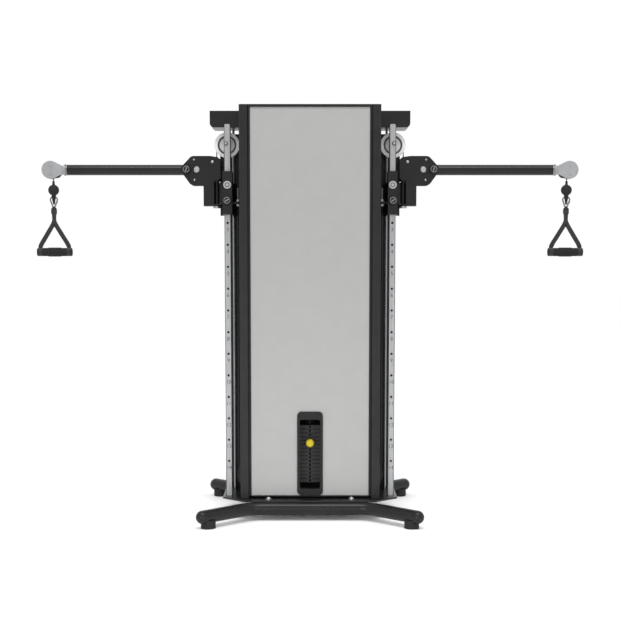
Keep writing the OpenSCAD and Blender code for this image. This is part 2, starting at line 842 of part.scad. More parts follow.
module carriage_bolts() {
  ring_z = rest_z + 71;
  sleeve_face = -rail_front - sleeve_front;
  color("#b9bbbd") {
    // Hinge bolt with its flange below and its acorn nut above
    translate([hinge_x, 0, ear_low_top - ear_t - slide_gap - 9]) {
      cylinder(d = hinge_d, h = ear_up_top - ear_low_top + ear_t + slide_gap + 14);
      cylinder(d = 3 * hinge_d, h = 9);
    }
    translate([hinge_x, 0, ear_up_top + slide_gap]) {
      cylinder(d = 2 * hinge_d, h = 2.5);
      cylinder(d = 1.5 * hinge_d, h = 10, $fn = 6);
      translate([0, 0, 9]) cylinder(d1 = 1.4 * hinge_d, d2 = 0.6 * hinge_d, h = 8);
    }
    // Anchor stud with a nut on each side of the lug
    translate([anchor_x, 0, rest_z - lug_t - 10]) difference() {
      union() {
        cylinder(d = stud_d, h = lug_t + 10 + stud_up);
        cylinder(d = 1.7 * stud_d, h = 10, $fn = 6);
        translate([0, 0, lug_t + 10]) cylinder(d = 1.7 * stud_d, h = 10, $fn = 6);
      }
      translate([0, 0, -1]) cylinder(d = cable_d + loose, h = 22);
    }
    // Wear-pad adjuster on the sleeve face
    difference() {
      bar_y(rail_x, ring_z, sleeve_face - 6, sleeve_face, knob_d);
      bar_y(rail_x, ring_z, sleeve_face - 7, sleeve_face - 2, knob_d * 0.62);
    }
    bar_y(rail_x, ring_z, sleeve_face - 6, sleeve_face - 2, knob_d * 0.4);
  }
}

// A pull knob with its locking pin, along the depth
module pull_pin(x, z, face, tip, pin) {
  color("#2a2a2b") translate([x, face, z]) rotate([90, 0, 0]) rotate_extrude()
    polygon([[0, face - tip], [pin / 2, face - tip], [pin / 2, slide_gap],
             [knob_d * 0.28, slide_gap], [knob_d * 0.28, knob_l * 0.35],
             [knob_d / 2 - 2, knob_l * 0.4], [knob_d / 2, knob_l * 0.5],
             [knob_d / 2, knob_l - 3], [knob_d / 2 - 3, knob_l], [0, knob_l]]);
}

module height_pin() {
  pull_pin(rail_x, rest_z, -rail_front - sleeve_front, -rail_front + rail_wall + 6, lock_d);
}

// Arm head

module head_outline() {
  back_x = hinge_x - head_back;
  tongue_x = hinge_x + barrel_d / 2;
  tongue_out = tongue_x + tongue_w;
  shoulder = pivot_z - spool_r - 2 * head_r;
  foot = ear_low_top - ear_t;
  lobe_x = pivot_x + lobe_r / 2;
  polygon([[lobe_x, pivot_z + head_up], [head_pulley_x + spool_r, pivot_z + head_up],
    [hinge_x - head_t, pivot_z + head_up - head_t], [back_x, pivot_z + head_up - 3 * head_t],
    [back_x, shoulder + 2 * head_t], [back_x + 2 * head_t, shoulder], [tongue_x, shoulder],
    [tongue_x, foot], [tongue_out, foot], [tongue_out, pivot_z - head_lobe_down],
    [lobe_x, pivot_z - head_lobe_down], [pivot_x + pitch_r, pivot_z]]);
  // The lobe of the pitch pin, drawn together with a lobe below it and one above
  hull() {
    translate([pivot_x + pitch_r, pivot_z]) circle(r = lobe_r, $fn = 32);
    translate([lobe_x, pivot_z - head_lobe_down + lobe_r]) circle(r = lobe_r, $fn = 32);
    translate([lobe_x, pivot_z + head_up - lobe_r]) circle(r = lobe_r, $fn = 32);
  }
}

module arm_head() {
  block_x = hinge_x + barrel_d / 2 + 5;
  block_out = pivot_x - 33;
  color("#2f2f31") difference() {
    union() {
      for (sy = [-1, 1]) upright(min(sy * head_in, sy * head_out), max(sy * head_in, sy * head_out))
        head_outline();
      box([block_x, -head_in, ear_low_top - ear_t], [block_out, head_in, ear_up_low + 1]);
      for (z = [ear_low_top - ear_t, ear_up_low]) translate([0, 0, z]) {
        cylinder_at(hinge_x, 16, ear_t);
        box([hinge_x, -16, 0], [block_out, 16, ear_t]);
      }
    }
    translate([hinge_x, 0, ear_low_top - ear_t - 1])
      cylinder(d = hinge_d + 2 * run_fit, h = ear_up_top - ear_low_top + ear_t + 2);
    bar_y(pivot_x, pivot_z, -head_out - 1, head_out + 1, pivot_d + loose);
    bar_y(head_pulley_x, head_pulley_z, -head_out - 1, head_out + 1, axle_d * 0.75 + loose);
    bar_y(pivot_x + pitch_r, pivot_z, -head_out - 1, 0, pitch_pin_d + 2 * run_fit);
  }
}

module cylinder_at(x, r, h) {
  translate([x, 0, 0]) cylinder(r = r, h = h);
}

module head_bolts() {
  hub_half = 6;
  color("#c3c4c6") {
    // Pivot bolt with the cable spool at its middle
    translate([pivot_x, 0, pivot_z]) rotate([90, 0, 0]) rotate_extrude()
      polygon([[0, -head_out - 8], [11, -head_out - 8], [11, -head_out], [pivot_d / 2, -head_out],
        [pivot_d / 2, -hub_half], [spool_r + 4, -hub_half], [spool_r, -cable_d / 2],
        [spool_r, cable_d / 2], [spool_r + 4, hub_half], [pivot_d / 2, hub_half],
        [pivot_d / 2, head_out], [14, head_out], [14, head_out + 5], [11, head_out + 8],
        [0, head_out + 8]]);
    // Axle of the head pulley
    bar_y(head_pulley_x, head_pulley_z, -head_out - 4, head_out + 4, axle_d * 0.75);
  }
}

module pitch_pin() {
  pull_pin(pivot_x + pitch_r, pivot_z, -head_out, -head_in + sector_t + 1, pitch_pin_d);
}

module head_pulley() {
  color("#2f2f31") pulley(head_pulley_x, head_pulley_z, head_r, 14, axle_d * 0.75 + 2 * run_fit);
}

// Arm

module sector_outline() {
  intersection() {
    circle(r = sector_r);
    polygon([[0, 0], [sector_r * 0.6, -2 * sector_r], [3 * sector_r, -2 * sector_r],
             [3 * sector_r, 2 * sector_r], [sector_r * 0.6, 2 * sector_r]]);
  }
  circle(d = hub_d);
}

module arm_tube() {
  hub_half = 8.5;
  color("#2c2c2e") difference() {
    union() {
      difference() {
        translate([pivot_x + arm_d / 4, 0, pivot_z]) rotate([0, 90, 0])
          cylinder(d = arm_d, h = arm_l - arm_d / 4);
        translate([pivot_x + arm_d / 4 - 1, 0, pivot_z]) rotate([0, 90, 0])
          cylinder(d = arm_d - 2 * arm_wall, h = arm_l - arm_d / 4 + 2);
      }
      bar_y(pivot_x, pivot_z, -arm_d / 2, -hub_half, hub_d);
      bar_y(pivot_x, pivot_z, hub_half, arm_d / 2, hub_d);
      upright(-arm_d / 2, -arm_d / 2 + sector_t) translate([pivot_x, pivot_z]) sector_outline();
    }
    box([pivot_x - arm_d, -hub_half, pivot_z - arm_d],
        [pivot_x + arm_d / 2 + 4, hub_half, pivot_z + arm_d]);
    bar_y(pivot_x, pivot_z, -arm_d, arm_d, pivot_d + 2 * run_fit);
    for (i = [-3 : 3])
      bar_y(pivot_x + pitch_r * cos(i * pitch_step), pivot_z + pitch_r * sin(i * pitch_step),
            -arm_d, 0, pitch_pin_d + 2 * slide_gap);
  }
}

// Tip and handle

module tip_housing() {
  collar_l = 8;
  slot = 8;
  journal_r = arm_d / 2 - arm_wall - run_fit;
  color("#b4b5b7") difference() {
    union() {
      upright(-tip_t / 2, tip_t / 2) {
        translate([tip_x, pivot_z]) circle(r = tip_r);
        polygon([[arm_end_x + collar_l, pivot_z - 15], [tip_x - 14, pivot_z - tip_r * 0.94],
                 [tip_x - 14, pivot_z + tip_r * 0.94], [arm_end_x + collar_l, pivot_z + 15]]);
      }
      translate([arm_end_x + slide_gap, 0, pivot_z]) rotate([0, 90, 0])
        cylinder(d = arm_d + 4, h = collar_l);
      translate([arm_end_x - journal_l, 0, pivot_z]) rotate([0, 90, 0])
        cylinder(r = journal_r, h = journal_l + 2);
    }
    box([tip_pulley_x - tip_cable_r - 7, -slot, pivot_z - 2 * tip_r],
        [tip_pulley_x + tip_cable_r + 8, slot, pivot_z + 8]);
    translate([arm_end_x - journal_l - 1, 0, pivot_z]) rotate([0, 90, 0])
      cylinder(d = 16, h = journal_l + tip_out - tip_cable_r);
  }
  color("#8d8f92") bar_y(tip_pulley_x, tip_pulley_z, -slot, slot, 10);
}

module tip_pulley() {
  color("#2f2f31") difference() {
    pulley(tip_pulley_x, tip_pulley_z, tip_cable_r, 14, 10 + 2 * run_fit);
    translate([tip_pulley_x, 0, tip_pulley_z]) rotate([90, 0, 0]) difference() {
      cylinder(r = 2 * tip_r, h = 2 * tip_r, center = true);
      cylinder(r = tip_cable_r + 5, h = 3 * tip_r, center = true);
    }
  }
}

module handle_cable() {
  color("#17171a") cable_up(hang_x, ball_z, tip_pulley_z);
}

module hook_outline(inset) {
  top_c = hook_top - hook_w / 2;
  foot_c = hook_foot + hook_foot_w / 2;
  top_half = hook_w / 2 - inset;
  foot_half = hook_foot_w / 2 - inset;
  translate([0, top_c]) circle(r = top_half);
  translate([0, foot_c]) circle(r = foot_half);
  polygon([[-top_half, top_c], [-foot_half, foot_c], [foot_half, foot_c], [top_half, top_c]]);
}

module handle_hook() {
  color("#3a3b3d") translate([hang_x, 0, 0]) {
    // Ball stop, bored for the cable, with the shank of the hook
    rotate_extrude() difference() {
      union() {
        intersection() {
          translate([0, ball_z]) circle(r = ball_r);
          translate([0, ball_z - ball_r]) square([ball_r, 2 * ball_r]);
        }
        translate([0, hook_top - hook_bar / 2]) square([hook_bar * 0.4, ball_r]);
      }
      translate([-1, ball_z]) square([1 + cable_d / 2 + loose, 2 * ball_r]);
    }
    upright(-hook_bar / 2, hook_bar / 2) difference() {
      hook_outline(0);
      hook_outline(hook_bar);
    }
  }
}

module handle_strap() {
  eye_r = hook_foot_w / 2 - hook_bar;
  loop_half = 0.7 * eye_r;
  bar_top = hook_foot + hook_foot_w / 2 - sqrt(eye_r * eye_r - loop_half * loop_half) + loose;
  band = 3;
  reach = hook_bar / 2 + loose;
  neck_r = grip_neck_d / 2;
  color("#222224") translate([hang_x, 0, 0]) {
    // Loop through the hook, then the doubled band
    crosswise(-loop_half, loop_half)
      difference() {
        translate([-reach - band, strap_split]) square([2 * (reach + band), bar_top + band - strap_split]);
        translate([-reach, hook_foot - loose]) square([2 * reach, bar_top - hook_foot + loose]);
      }
    box([-strap_w / 2, -reach - band, strap_split], [strap_w / 2, reach + band, hook_foot - loose]);
    // Two legs that end in bands round the grip's necks
    for (sx = [-1, 1]) {
      difference() {
        upright(-web_t / 2, web_t / 2)
          polygon([[0, strap_split + leg_w], [sx * strap_w / 2, strap_split + leg_w],
                   [sx * (strap_w / 2 + 2), strap_split + leg_w / 3],
                   [sx * (leg_x + leg_w / 2 - 3), grip_z + neck_r + leg_w],
                   [sx * (leg_x + leg_w / 2), grip_z + neck_r], [sx * (leg_x + leg_w / 2), grip_z],
                   [sx * (leg_x - leg_w / 2), grip_z], [sx * (leg_x - leg_w / 2), grip_z + neck_r + 3],
                   [0, strap_split - leg_w * 0.8]]);
        translate([0, 0, grip_z]) rotate([0, 90, 0])
          cylinder(d = grip_neck_d, h = 3 * grip_half, center = true);
      }
      translate([sx * leg_x, 0, grip_z]) rotate([0, 90, 0]) difference() {
        cylinder(d = grip_neck_d + 6, h = leg_w, center = true);
        cylinder(d = grip_neck_d, h = 2 * leg_w, center = true);
      }
    }
  }
}

module handle_grip() {
  neck = grip_neck_d / 2;
  neck_in = leg_x - leg_w / 2 - 1;
  flange = 3;
  color("#1f1f20") translate([hang_x, 0, grip_z]) rotate([0, 90, 0]) rotate_extrude()
    polygon(concat([[0, -grip_half], [neck + 4, -grip_half], [neck + 4, -grip_half + flange],
      [neck, -grip_half + flange], [neck, -neck_in]],
      [for (a = [-75 : 15 : 75])
        [neck + 2 + (grip_d / 2 - neck - 2) * cos(a), neck_in * sin(a)]],
      [[neck, neck_in], [neck, grip_half - flange], [neck + 4, grip_half - flange],
       [neck + 4, grip_half], [0, grip_half]]));
}

base_feet();
rubber_feet();
base_deck();
tower_columns();
crossbeam();
front_panel();
rear_cover();
window_bezel();
front_rails();
guide_rods();
stack_cushions();
resting_plates();
pulley_mounts();
fixed_cables();
lifted_plates();
lift_stem();
stack_cables();
selector_pin();
for (side = ["left", "right"]) {
  on_side(side) top_pulley();
  on_side(side) inner_pulley();
  on_side(side) return_pulley();
  on_side(side) lift_pulley();
  on_side(side) base_pulley();
  on_side(side) head_pulley();
  on_side(side) tip_pulley();
  on_side(side) carriage();
  on_side(side) carriage_bolts();
  on_side(side) height_pin();
  on_side(side) riser_cable();
  on_side(side) anchor_cable();
  on_side(side) arm_head();
  on_side(side) head_bolts();
  on_side(side) pitch_pin();
  on_side(side) arm_tube();
  on_side(side) tip_housing();
  on_side(side) handle_cable();
  on_side(side) handle_hook();
  on_side(side) handle_strap();
  on_side(side) handle_grip();
}
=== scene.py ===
import math

import bmesh
import bpy
from mathutils import Matrix, Vector


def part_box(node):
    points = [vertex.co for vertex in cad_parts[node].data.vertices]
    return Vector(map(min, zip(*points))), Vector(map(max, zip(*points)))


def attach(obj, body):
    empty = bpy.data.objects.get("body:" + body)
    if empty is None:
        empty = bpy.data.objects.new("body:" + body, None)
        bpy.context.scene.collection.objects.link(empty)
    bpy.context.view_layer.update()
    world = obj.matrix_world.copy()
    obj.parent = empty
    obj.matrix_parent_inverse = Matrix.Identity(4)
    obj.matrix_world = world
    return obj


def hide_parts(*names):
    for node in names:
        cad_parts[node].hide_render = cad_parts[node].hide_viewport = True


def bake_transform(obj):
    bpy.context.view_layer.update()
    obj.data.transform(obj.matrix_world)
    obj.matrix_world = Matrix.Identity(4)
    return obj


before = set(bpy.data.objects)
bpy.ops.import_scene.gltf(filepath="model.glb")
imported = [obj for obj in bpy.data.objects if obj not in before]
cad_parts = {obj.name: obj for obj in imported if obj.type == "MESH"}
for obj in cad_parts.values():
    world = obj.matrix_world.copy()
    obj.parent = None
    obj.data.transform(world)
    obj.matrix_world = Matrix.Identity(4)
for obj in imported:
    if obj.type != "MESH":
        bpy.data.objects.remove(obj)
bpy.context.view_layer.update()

# %% [markdown]
# # A functional trainer
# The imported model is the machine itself: tower, rails, carriages, arms and pulleys, in metres,
# with the floor at Z = 0 and the front towards -Y. This lesson dresses it: it gives every
# piece its finish, and adds what is soft, printed or small, such as the strap handles,
# the moving stretches of cable, the screws and the numbers on the rails.

# %% Units, sides and middles
MM = 0.001
SIDES = {"left": -1, "right": 1}


def centre(node):
    """The middle of a node's box, at rest."""
    low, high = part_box(node)
    return (Vector(low) + Vector(high)) / 2


# %% [markdown]
# ## Camera
# The photograph was taken from chest height with a longer lens, a little above the middle
# of the machine. A camera could be set by eye. This one was fitted to two assumed sizes, a
# 100 mm hole spacing on the rails and a 160 mm grip, so that all pieces share one scale. It
# looks slightly down, and its lens is shifted to place the machine in the frame.

# %% Camera
TILT_DOWN = 5.38
camera_data = bpy.data.cameras.new("camera")
camera_data.sensor_width = 36
camera_data.lens = 68.75
camera_data.shift_y = 0.10
camera = bpy.data.objects.new("camera", camera_data)
camera.location = (0, -5.533, 1.182)
camera.rotation_euler = (math.radians(90 - TILT_DOWN), 0, 0)
bpy.context.scene.collection.objects.link(camera)
bpy.context.scene.camera = camera
print("camera at", tuple(camera.location))

# %% [markdown]
# ## Colours and nodes
# Colours are written as sRGB hex values, as a paint chart gives them, and turned to linear
# light by one function. Nodes could be set up by hand in the shader editor. Here a second
# function adds a node with its settings and links, which keeps each finish to a few lines.

# %% Helpers for materials


def linear(hex_code):
    """An sRGB hex colour as linear red, green, blue and alpha."""
    parts = [int(hex_code[i:i + 2], 16) / 255 for i in (1, 3, 5)]
    return [c / 12.92 if c <= 0.04045 else ((c + 0.055) / 1.055) ** 2.4 for c in parts] + [1]


def add_node(tree, kind, settings=(), links=()):
    """Adds one node, sets its inputs or properties, and links sockets to its inputs."""
    node = tree.nodes.new(kind)
    for name, value in dict(settings).items():
        if name in node.inputs:
            node.inputs[name].default_value = value
        else:
            setattr(node, name, value)
    for name, socket in dict(links).items():
        tree.links.new(socket, node.inputs[name])
    return node


def new_material(name):
    """An empty material with its tree, shader and Object coordinates."""
    material = bpy.data.materials.new(name)
    material.use_nodes = True
    tree = material.node_tree
    shader = tree.nodes["Principled BSDF"]
    place = add_node(tree, "ShaderNodeTexCoord").outputs["Object"]
    return material, tree, shader, place


def per_metre(size_mm):
    """The texture scale that gives a pattern of this size in millimetres."""
    return 1000 / size_mm


def speckled(tree, place, dark, light, size_mm, stretch=(1, 1, 1)):
    """Two near colours mixed by a noise of a real size, and the noise itself."""
    turned = add_node(tree, "ShaderNodeMapping", {"Scale": stretch}, {"Vector": place})
    noise = add_node(tree, "ShaderNodeTexNoise", {"Scale": per_metre(size_mm), "Detail": 4.0},
                     {"Vector": turned.outputs["Vector"]})
    ramp = add_node(tree, "ShaderNodeValToRGB", {}, {"Fac": noise.outputs["Fac"]})
    ramp.color_ramp.elements[0].position = 0.35
    ramp.color_ramp.elements[0].color = linear(dark)
    ramp.color_ramp.elements[1].position = 0.65
    ramp.color_ramp.elements[1].color = linear(light)
    return ramp.outputs["Color"], noise.outputs["Fac"]


def roughened(tree, fac, low, high):
    """Roughness that wanders between two values with a noise."""
    spread = add_node(tree, "ShaderNodeMapRange",
                      {"From Min": 0.3, "From Max": 0.7, "To Min": low, "To Max": high}, {"Value": fac})
    return spread.outputs["Result"]


def bumped(tree, shader, height, depth_mm, strength):
    """Small relief of a real depth on the shader's normal."""
    bump = add_node(tree, "ShaderNodeBump", {"Strength": strength, "Distance": depth_mm * MM},
                    {"Height": height})
    tree.links.new(bump.outputs["Normal"], shader.inputs["Normal"])


# %% [markdown]
# ## Finishes
# Welded steel on gym machines is powder coated: the coat melts to a slightly dimpled film,
# the orange peel, that softens every highlight. The real dimples are about 1 mm, so they are
# drawn at 2 or 3 mm to show. A flat colour would look like plastic, so a noise moves the
# roughness and a bump gives the dimples. The front panel is a smoother satin coat. Rails are
# anodised aluminium, drawn through a die, so a noise stretched along them gives their sheen.

# %% Painted and metal finishes


def powder_coat(name, dark, light, rough, dimple_mm=3.0):
    """Powder coat over steel: dielectric, semi-gloss, with orange peel."""
    material, tree, shader, place = new_material(name)
    colour = speckled(tree, place, dark, light, 60)[0]
    tree.links.new(colour, shader.inputs["Base Color"])
    dimples = add_node(tree, "ShaderNodeTexNoise", {"Scale": per_metre(dimple_mm), "Detail": 2.0},
                       {"Vector": place}).outputs["Fac"]
    tree.links.new(roughened(tree, dimples, rough - 0.05, rough + 0.06), shader.inputs["Roughness"])
    shader.inputs["Specular IOR Level"].default_value = 0.3
    bumped(tree, shader, dimples, 0.15, 0.25)
    return material


def drawn_metal(name, dark, light, rough, grain_mm, along, metallic=1.0):
    """Metal with fine lines along one axis, from drawing, turning or brushing."""
    material, tree, shader, place = new_material(name)
    colour, lines = speckled(tree, place, dark, light, grain_mm, along)
    tree.links.new(colour, shader.inputs["Base Color"])
    tree.links.new(roughened(tree, lines, rough - 0.06, rough + 0.08), shader.inputs["Roughness"])
    shader.inputs["Metallic"].default_value = metallic
    bumped(tree, shader, lines, 0.05, 0.15)
    return material


ALONG_Z = (1, 1, 0.02)
EVEN = (1, 1, 1)
black_coat = powder_coat("black powder coat", "#111112", "#161617", 0.29)
grey_coat = powder_coat("charcoal powder coat", "#161617", "#1b1b1c", 0.38)
panel_coat = powder_coat("light grey satin powder coat", "#9c9c9b", "#9e9e9d", 0.5, 2.0)
silver_coat = powder_coat("silver powder coat on a casting", "#8e8f91", "#97989a", 0.4)
# Anodising leaves a dull glassy film, so the rails are only partly metallic
rail_metal = drawn_metal("anodised aluminium", "#97989a", "#a6a7a9", 0.42, 6, ALONG_Z, 0.55)
chrome = drawn_metal("hard chrome", "#7c7d7f", "#88898b", 0.24, 8, ALONG_Z)
nickel = drawn_metal("nickel plated steel", "#77787a", "#848587", 0.3, 3, EVEN)
zinc = drawn_metal("zinc plated steel", "#a6a7a9", "#b6b7b9", 0.38, 3, EVEN)
print("metal finishes:", black_coat.name, grey_coat.name, panel_coat.name, rail_metal.name, chrome.name)

# %% [markdown]
# ## Rubber, plastics, iron and cloth
# Moulded pieces take the texture of their mould: a fine spark-eroded grain on knobs and
# bezel, a smooth face on nylon pulleys. The weight plates are sand-cast iron under black
# paint. The handles' webbing is woven nylon, whose ribs show as fine stripes. A photographed
# texture could be used, but noise and waves have a real scale and need no picture.

# %% Moulded, cast and woven finishes


def moulded(name, dark, light, rough, grain_mm, depth_mm):
    """A moulded or cast skin with an even grain."""
    material, tree, shader, place = new_material(name)
    colour, grain = speckled(tree, place, dark, light, grain_mm)
    tree.links.new(colour, shader.inputs["Base Color"])
    tree.links.new(roughened(tree, grain, rough - 0.06, rough + 0.08), shader.inputs["Roughness"])
    shader.inputs["Specular IOR Level"].default_value = 0.3
    bumped(tree, shader, grain, depth_mm, 0.3)
    return material


def cast_stack(name, dark, light, low_z, pitch_mm, shade_line_mm):
    """Painted cast plates: the skin of a casting, with a dark line of painted shade at each gap between
    plates.
    """
    material = moulded(name, dark, light, 0.55, 3, 0.3)
    tree = material.node_tree
    base_colour = tree.nodes["Principled BSDF"].inputs["Base Color"]
    place = add_node(tree, "ShaderNodeTexCoord").outputs["Object"]
    height = add_node(tree, "ShaderNodeSeparateXYZ", {}, {"Vector": place}).outputs["Z"]
    plates_up = add_node(tree, "ShaderNodeMapRange",
                         {"clamp": False, "From Min": low_z, "From Max": low_z + pitch_mm * MM},
                         {"Value": height}).outputs["Result"]
    share = add_node(tree, "ShaderNodeMath", {"operation": "FRACT"}, {0: plates_up}).outputs["Value"]
    ramp = add_node(tree, "ShaderNodeValToRGB", {}, {"Fac": share})
    stops = ramp.color_ramp.elements
    # Painted shade: the colour is darkened to 0.15 at each gap, where shade falls between the plates
    line, gap_shade, on_plate = shade_line_mm / pitch_mm, 0.15, 1.0
    shades = ((0.0, gap_shade), (line, on_plate), (1 - 2 * line, on_plate), (1 - line, gap_shade))
    for number, (position, shade) in enumerate(shades):
        stop = stops[number] if number < 2 else stops.new(position)
        stop.position = position
        stop.color = (shade, shade, shade, 1)
    # The Mix node's sockets share their names, so its factor and colours go by number
    mixed = add_node(tree, "ShaderNodeMix", {"data_type": "RGBA", "blend_type": "MULTIPLY"},
                     {6: base_colour.links[0].from_socket, 7: ramp.outputs["Color"]})
    mixed.inputs[0].default_value = 1.0
    tree.links.new(mixed.outputs[2], base_colour)
    return material


WAVE_RADIANS = 20  # what a wave texture goes through in one unit at a scale of 1


def woven(name, dark, light, rib_mm):
    """Nylon webbing: ribs crossed by threads of the same pitch."""
    material, tree, shader, place = new_material(name)
    scale = per_metre(rib_mm) * math.tau / WAVE_RADIANS
    ribs, threads = (add_node(tree, "ShaderNodeTexWave", {"Scale": scale, "bands_direction": axis},
                              {"Vector": place}).outputs["Fac"] for axis in ("Z", "X"))
    cloth = add_node(tree, "ShaderNodeMath", {"operation": "MULTIPLY"}, {0: ribs, 1: threads})
    ramp = add_node(tree, "ShaderNodeValToRGB", {}, {"Fac": cloth.outputs["Value"]})
    ramp.color_ramp.elements[0].color = linear(dark)
    ramp.color_ramp.elements[1].color = linear(light)
    tree.links.new(ramp.outputs["Color"], shader.inputs["Base Color"])
    shader.inputs["Roughness"].default_value = 0.85
    shader.inputs["Sheen Weight"].default_value = 0.3
    bumped(tree, shader, cloth.outputs["Value"], 0.5, 0.5)
    return material


rubber = moulded("black rubber", "#1a1a1b", "#222223", 0.75, 4, 0.2)
foam = moulded("foam rubber grip", "#19191a", "#212122", 0.85, 2.5, 0.4)
knob_plastic = moulded("textured black ABS", "#161617", "#1b1b1c", 0.5, 1.5, 0.1)
yellow_plastic = moulded("yellow ABS", "#c9b51a", "#d4c026", 0.35, 20, 0.05)
black_oxide = drawn_metal("black oxide steel", "#2a2a2c", "#323234", 0.4, 4, EVEN)
black_nylon = moulded("black nylon", "#2a2a2c", "#323234", 0.45, 5, 0.05)
cable_skin = moulded("black nylon cable coating", "#141416", "#1c1c1f", 0.4, 6, 0.05)
PLATE_PITCH_MM = 18
# The dark lines at the plate gaps are painted shade
PLATE_SHADE_LINE_MM = 2  # the gaps are 0.5 mm, too fine to show, so their lines are drawn wider
plate_iron = cast_stack("painted cast iron", "#2a2a2b", "#353536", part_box("resting_plates")[0][2],
                        PLATE_PITCH_MM, PLATE_SHADE_LINE_MM)
bezel_plastic = moulded("satin black ABS", "#0a0a0b", "#0e0e0f", 0.5, 1.5, 0.1)
# Ribs are taken as about 2.4 mm apart, and are drawn at nearly twice that to show
webbing = woven("woven nylon webbing", "#131315", "#29292b", 4.737)
print("soft and moulded finishes ready")

# %% [markdown]
# ## The top pulleys
# The two top pulleys are the pale wheels beside the rails: a light rim, a dark ring of painted
# shade where the web is recessed, and a light hub disc. The rings could be discs of their own,
# but the wheel is already there, so one material reads the distance from the axle instead. A
# Mapping node centres it, so the rings stay on the wheel as it turns.

# %% Ringed pulley finish


def ringed_nylon(name, axle, rings):
    """Nylon wheel whose colour changes at given radii (metres, outwards)."""
    material, tree, shader, place = new_material(name)
    moved = add_node(tree, "ShaderNodeMapping", {"Location": (-axle.x, 0, -axle.z), "Scale": (1, 0, 1)},
                     {"Vector": place})
    radius = add_node(tree, "ShaderNodeVectorMath", {"operation": "LENGTH"}, {0: moved.outputs["Vector"]})
    outer = 100 * MM
    share = add_node(tree, "ShaderNodeMapRange", {"From Max": outer}, {"Value": radius.outputs["Value"]})
    ramp = add_node(tree, "ShaderNodeValToRGB", {}, {"Fac": share.outputs["Result"]})
    ramp.color_ramp.interpolation = "CONSTANT"
    ramp.color_ramp.elements.remove(ramp.color_ramp.elements[1])
    for index, (start, colour) in enumerate(rings):
        stop = ramp.color_ramp.elements[0] if index == 0 else ramp.color_ramp.elements.new(start / outer)
        stop.position = start / outer
        stop.color = linear(colour)
    tree.links.new(ramp.outputs["Color"], shader.inputs["Base Color"])
    grain = add_node(tree, "ShaderNodeTexNoise", {"Scale": per_metre(5)}, {"Vector": place}).outputs["Fac"]
    tree.links.new(roughened(tree, grain, 0.4, 0.5), shader.inputs["Roughness"])
    return material


# The dark middle ring is painted shade in the recessed web
WHEEL_RINGS_WITH_SHADE = [(0, "#c9c9c8"), (34 * MM, "#4a4a4b"), (43 * MM, "#dededd")]
top_finish = {side: ringed_nylon(f"pale nylon {side}", centre(f"{side}_top_pulley"), WHEEL_RINGS_WITH_SHADE)
              for side in SIDES}
print("ringed finishes:", len(top_finish))

# %% [markdown]
# ## Finishes on the machine's own pieces
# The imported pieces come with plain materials. Each kind gets one finish from a table, and the
# left and right pieces share it, so a change of paint is made in one place.

# %% Finishes on the machine's own pieces
FINISHES = {
    "base_feet": black_coat, "rubber_feet": rubber, "base_deck": black_coat,
    "tower_columns": grey_coat, "crossbeam": black_coat, "front_panel": panel_coat,
    "rear_cover": black_coat, "window_bezel": bezel_plastic, "front_rails": rail_metal,
    "guide_rods": chrome, "stack_cushions": rubber, "resting_plates": plate_iron,
    "pulley_mounts": black_coat, "fixed_cables": cable_skin, "lifted_plates": plate_iron,
    "lift_stem": black_oxide, "selector_pin": yellow_plastic, "inner_pulley": black_nylon,
    "return_pulley": black_nylon, "lift_pulley": black_nylon, "base_pulley": black_nylon,
    "head_pulley": black_nylon, "tip_pulley": black_nylon, "carriage": black_coat,
    "carriage_bolts": zinc, "height_pin": knob_plastic, "arm_head": black_coat,
    "head_bolts": zinc, "pitch_pin": knob_plastic, "arm_tube": black_coat,
    "tip_housing": silver_coat,
}


def dress(node, material):
    """Gives a CAD node one finish."""
    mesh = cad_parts[node].data
    mesh.materials.clear()
    mesh.materials.append(material)


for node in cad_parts:
    plain = node.removeprefix("left_").removeprefix("right_")
    if plain == "top_pulley":
        dress(node, top_finish[node.split("_")[0]])
    elif plain in FINISHES:
        dress(node, FINISHES[plain])
print("dressed", len(FINISHES) + 1, "kinds of CAD piece")

# %% [markdown]
# ## Painted shade inside the rails
# Each adjusting hole shows as a dark dot, where shade falls inside the tube, so the inner faces
# of the rail get a near-black material, which is painted shade. Dark discs could stand behind the
# holes, but a second material on the inner faces adds no mesh. A face of the rail is an inner one
# when it lies deeper than the tube's outer skin.

# %% Dark insides of the rails
# Painted shade: the inner faces are near black so that the holes read as shaded
rail_inner_shade = moulded("painted shade inside the rails", "#0c0c0d", "#111112", 0.8, 4, 0.05)
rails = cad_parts["front_rails"].data
rails.materials.append(rail_inner_shade)
rail_low, rail_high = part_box("front_rails")
RAIL_HALF_W = 15 * MM
rail_x = rail_high[0] - RAIL_HALF_W
SKIN = 0.5 * MM
for face in rails.polygons:
    x, y, z = face.center
    deep = abs(abs(x) - rail_x) < RAIL_HALF_W - SKIN and rail_low[1] + SKIN < y < rail_high[1] - SKIN
    if deep and rail_low[2] + SKIN < z < rail_high[2] - SKIN:
        face.material_index = 1
print("rail centre at", round(rail_x, 4))

# %% [markdown]
# ## Making and placing new pieces
# Each new piece is built in a bmesh and handed over once: it gets its finish, the body that
# it moves with, and the record's material slot. Its place is in its mesh, so the object
# stays at the origin. Turned pieces are a profile that spin carries round an axis, and cables
# and bars are circles joined by bridge_loops, because both operators leave closed shapes.

# %% Helpers for pieces
SHARP_FROM = math.radians(40)


def piece(name, bm, material, body, replaces=()):
    """Turns a bmesh into a finished piece, smoothed by angle, that rides on a body."""
    bmesh.ops.remove_doubles(bm, verts=bm.verts, dist=1e-6)
    bmesh.ops.recalc_face_normals(bm, faces=bm.faces)
    mesh = bpy.data.meshes.new(name)
    bm.to_mesh(mesh)
    bm.free()
    mesh.materials.append(material)
    mesh.polygons.foreach_set("use_smooth", [True] * len(mesh.polygons))
    mesh.set_sharp_from_angle(angle=SHARP_FROM)
    thing = bpy.data.objects.new(name, mesh)
    bpy.context.scene.collection.objects.link(thing)
    if body:
        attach(thing, body)
    if replaces:
        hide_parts(*replaces)
    return thing


